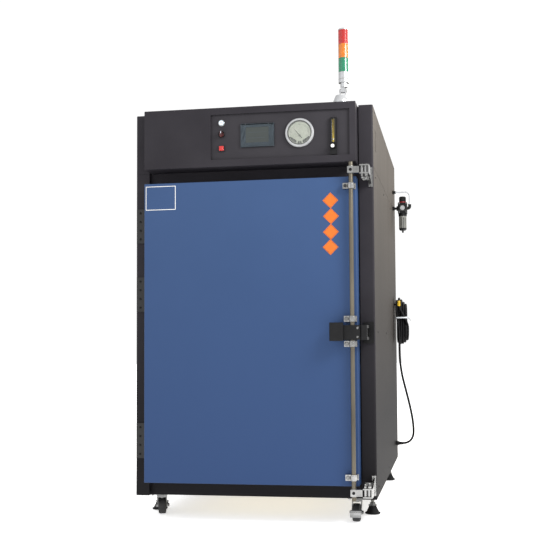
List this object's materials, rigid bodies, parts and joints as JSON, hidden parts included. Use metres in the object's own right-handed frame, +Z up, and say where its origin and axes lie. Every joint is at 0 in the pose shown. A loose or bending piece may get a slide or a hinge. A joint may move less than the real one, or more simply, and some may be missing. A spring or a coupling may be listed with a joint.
{
  "type": "cabinet drying oven",
  "caption": "Cabinet drying oven on castors with an insulated hinged door, bar lock, header control panel, folding signal tower, gas filter regulator and hung power cable.",
  "frame": {"origin": "middle of the outline without the power cable, on the floor", "axes": "+Z up, front and door face -Y, +X to the right seen from the front"},
  "size_m": [1.1436, 1.6, 2.0643],
  "materials": {
    "cabinet_grey_paint": "fine texture powder coat",
    "panel_beige_paint": "fine texture powder coat",
    "door_blue_paint": "fine texture powder coat",
    "chamber_stainless": "brushed stainless steel",
    "mineral_wool": "matt wool slab",
    "heater_sheath": "heat-tinted steel",
    "motor_cast": "painted casting",
    "fan_steel": "rolled steel",
    "control_plate_steel": "satin",
    "screen_plastic": "satin",
    "gauge_metal": "turned",
    "needle_black": "matt",
    "acrylic": "clear acrylic",
    "black_plastic": "satin",
    "hinge_zinc": "zinc plated",
    "latch_chrome": "bright zinc",
    "rod_zinc": "yellowish zinc plate",
    "castor_zinc": "zinc plated",
    "pedal_chrome": "bright zinc",
    "wheel_rubber": "black rubber",
    "foot_rubber": "moulded rubber",
    "bowl_grey": "satin",
    "air_tube": "satin",
    "cable_rubber": "matt",
    "cap_yellow": "satin",
    "gasket_silicone": "silicone",
    "tower_silver": "satin",
    "lens_red_plastic": "translucent",
    "lens_amber_plastic": "translucent",
    "lens_green_plastic": "translucent",
    "button_plastic": "gloss",
    "selector_plastic": "satin",
    "stop_plastic": "gloss"
  },
  "bodies": {
    "cabinet": {"base_frame": "cabinet_grey_paint", "front_frame": "cabinet_grey_paint", "left_side_panel": "panel_beige_paint", "right_side_panel": "panel_beige_paint", "top_panel": "panel_beige_paint", "rear_panel": "panel_beige_paint", "inner_chamber": "chamber_stainless", "insulation": "mineral_wool", "air_baffles": "chamber_stainless", "shelf_rack": "chamber_stainless", "heater_elements": "heater_sheath", "fan_motor": "motor_cast", "header_box": "cabinet_grey_paint", "control_plate": "control_plate_steel", "touch_screen": "screen_plastic", "gauge_case": "gauge_metal", "flowmeter_body": "acrylic", "frame_hinge_leaves": "hinge_zinc", "keepers": "latch_chrome", "handle_catch": "black_plastic", "caster_mounts": "castor_zinc", "regulator_body": "black_plastic", "regulator_bowl": "bowl_grey", "air_line": "air_tube", "cable_gland": "black_plastic", "power_cable": "cable_rubber", "cable_hank": "cable_rubber", "cable_end": "cap_yellow", "tower_base": "tower_silver"},
    "door": {"door_skin": "door_blue_paint", "door_inner_pan": "chamber_stainless", "door_gasket": "gasket_silicone", "door_hinge_leaves": "hinge_zinc", "rod_guides": "latch_chrome"},
    "bar_lock": {"lock_rod": "rod_zinc", "lock_arms": "latch_chrome", "lock_handle": "black_plastic"},
    "tower_light": {"tower_column": "tower_silver", "lens_green": "lens_green_plastic", "lens_amber": "lens_amber_plastic", "lens_red": "lens_red_plastic"},
    "left_swivel": {"front_left_fork": "castor_zinc"},
    "right_swivel": {"front_right_fork": "castor_zinc"},
    "left_wheel": {"front_left_wheel": "wheel_rubber"},
    "right_wheel": {"front_right_wheel": "wheel_rubber"},
    "rear_left_wheel": {"rear_left_wheel": "wheel_rubber"},
    "rear_right_wheel": {"rear_right_wheel": "wheel_rubber"},
    "left_brake": {"left_brake_pedal": "pedal_chrome"},
    "right_brake": {"right_brake_pedal": "pedal_chrome"},
    "front_left_foot": {"front_left_foot": "foot_rubber"},
    "front_right_foot": {"front_right_foot": "foot_rubber"},
    "rear_left_foot": {"rear_left_foot": "foot_rubber"},
    "rear_right_foot": {"rear_right_foot": "foot_rubber"},
    "power_button": {"power_button": "button_plastic"},
    "selector": {"selector_knob": "selector_plastic"},
    "stop_button": {"stop_button": "stop_plastic"},
    "flow_valve": {"flow_valve_knob": "black_plastic"},
    "gauge_needle": {"gauge_pointer": "needle_black"},
    "fan": {"fan_wheel": "fan_steel"},
    "pressure_adjuster": {"regulator_knob": "black_plastic"}
  },
  "joints": [
    {"name": "door_hinge", "type": "hinge", "parent": "cabinet", "child": "door", "pos_m": [-0.5215, -0.674, 0.7975], "axis": [0, 0, -1], "range_deg": [0, 105]},
    {"name": "lock_turn", "type": "hinge", "parent": "door", "child": "bar_lock", "pos_m": [0.3845, -0.762, 0.787], "axis": [0, 0, 1], "range_deg": [0, 65]},
    {"name": "tower_fold", "type": "hinge", "parent": "cabinet", "child": "tower_light", "pos_m": [0.3525, -0.698, 1.8], "axis": [-1, 0, 0], "range_deg": [0, 90]},
    {"name": "left_castor_swivel", "type": "hinge", "parent": "cabinet", "child": "left_swivel", "pos_m": [-0.4815, -0.578, 0.083], "axis": [0, 0, 1], "continuous": true},
    {"name": "left_wheel_spin", "type": "hinge", "parent": "left_swivel", "child": "left_wheel", "pos_m": [-0.49134, -0.54129, 0.0375], "axis": [0.9659, 0.2588, 0], "continuous": true},
    {"name": "left_brake_press", "type": "hinge", "parent": "left_swivel", "child": "left_brake", "pos_m": [-0.49134, -0.54129, 0.0375], "axis": [-0.9659, -0.2588, 0], "range_deg": [0, 18]},
    {"name": "right_castor_swivel", "type": "hinge", "parent": "cabinet", "child": "right_swivel", "pos_m": [0.3785, -0.578, 0.083], "axis": [0, 0, 1], "continuous": true},
    {"name": "right_wheel_spin", "type": "hinge", "parent": "right_swivel", "child": "right_wheel", "pos_m": [0.3785, -0.616, 0.0375], "axis": [1, 0, 0], "continuous": true},
    {"name": "right_brake_press", "type": "hinge", "parent": "right_swivel", "child": "right_brake", "pos_m": [0.3785, -0.616, 0.0375], "axis": [1, 0, 0], "range_deg": [0, 18]},
    {"name": "rear_left_wheel_spin", "type": "hinge", "parent": "cabinet", "child": "rear_left_wheel", "pos_m": [-0.4815, 0.658, 0.0375], "axis": [1, 0, 0], "continuous": true},
    {"name": "rear_right_wheel_spin", "type": "hinge", "parent": "cabinet", "child": "rear_right_wheel", "pos_m": [0.3785, 0.658, 0.0375], "axis": [1, 0, 0], "continuous": true},
    {"name": "front_left_foot_screw_up", "type": "slide", "parent": "cabinet", "child": "front_left_foot", "axis": [0, 0, 1], "range_m": [0, 0.025]},
    {"name": "front_right_foot_screw_up", "type": "slide", "parent": "cabinet", "child": "front_right_foot", "axis": [0, 0, 1], "range_m": [0, 0.025]},
    {"name": "rear_left_foot_screw_up", "type": "slide", "parent": "cabinet", "child": "rear_left_foot", "axis": [0, 0, 1], "range_m": [0, 0.025]},
    {"name": "rear_right_foot_screw_up", "type": "slide", "parent": "cabinet", "child": "rear_right_foot", "axis": [0, 0, 1], "range_m": [0, 0.025]},
    {"name": "power_button_press", "type": "slide", "parent": "cabinet", "child": "power_button", "axis": [0, 1, 0], "range_m": [0, 0.004], "stiffness_N_per_m": 300, "springref_m": -0.002},
    {"name": "stop_button_press", "type": "slide", "parent": "cabinet", "child": "stop_button", "axis": [0, 1, 0], "range_m": [0, 0.004], "stiffness_N_per_m": 300, "springref_m": -0.002},
    {"name": "selector_turn", "type": "hinge", "parent": "cabinet", "child": "selector", "pos_m": [-0.1675, -0.73, 1.632], "axis": [0, 1, 0], "range_deg": [0, 90]},
    {"name": "flow_valve_turn", "type": "hinge", "parent": "cabinet", "child": "flow_valve", "pos_m": [0.3095, -0.742, 1.559], "axis": [0, 1, 0], "range_deg": [0, 330]},
    {"name": "gauge_needle_swing", "type": "hinge", "parent": "cabinet", "child": "gauge_needle", "pos_m": [0.1685, -0.737, 1.612], "axis": [0, 1, 0], "range_deg": [0, 80], "stiffness_Nm_per_rad": 0.002, "springref_deg": -28.65},
    {"name": "fan_spin", "type": "hinge", "parent": "cabinet", "child": "fan", "pos_m": [-0.0515, 0.369, 0.7975], "axis": [0, 1, 0], "continuous": true},
    {"name": "pressure_adjust", "type": "hinge", "parent": "cabinet", "child": "pressure_adjuster", "pos_m": [0.5235, 0.55, 1.526], "axis": [0, 0, 1], "range_deg": [-360, 360]}
  ]
}
